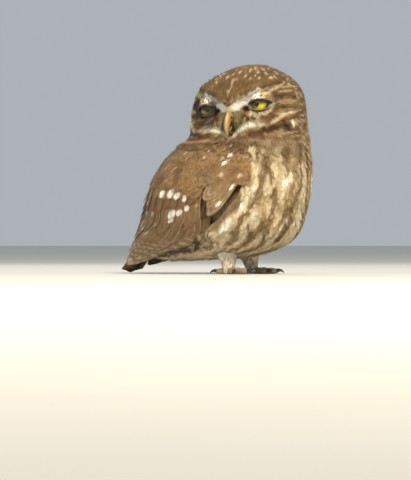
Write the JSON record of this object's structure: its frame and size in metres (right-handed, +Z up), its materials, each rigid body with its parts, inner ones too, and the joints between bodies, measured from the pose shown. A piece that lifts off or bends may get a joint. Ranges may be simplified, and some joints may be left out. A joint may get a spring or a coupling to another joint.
{
  "type": "little owl",
  "caption": "Life-size still model of a little owl standing at rest, head turned over its right side, wings folded, tail on the floor.",
  "frame": {"origin": "on the floor, under the middle of the bounding box", "axes": "+Z up, the breast faces -Y, the bird's left side is +X, and the head is turned to face -X"},
  "size_m": [0.0956, 0.149, 0.152],
  "materials": {
    "brown_feather": "brown plumage of the wings and tail",
    "streaked_feather": "cream plumage with brown streaks",
    "face_feather": "brown plumage of the head with pale spots",
    "horn": "yellowish horn of the bill",
    "claw_horn": "near-black horn of the claws",
    "iris": "eye with a yellow iris",
    "toe_skin": "skin of the toes"
  },
  "bodies": {
    "root": {"bill_lower": "horn", "bill_upper": "horn", "claw_left_1": "claw_horn", "claw_left_2": "claw_horn", "claw_left_3": "claw_horn", "claw_left_4": "claw_horn", "claw_right_1": "claw_horn", "claw_right_2": "claw_horn", "claw_right_3": "claw_horn", "claw_right_4": "claw_horn", "eye_left": "iris", "eye_right": "iris", "foot_left": "toe_skin", "foot_right": "toe_skin", "head": "face_feather", "leg_left": "streaked_feather", "leg_right": "streaked_feather", "neck": "face_feather", "tail": "brown_feather", "torso": "streaked_feather", "wing_left": "brown_feather", "wing_right": "brown_feather"}
  },
  "joints": []
}
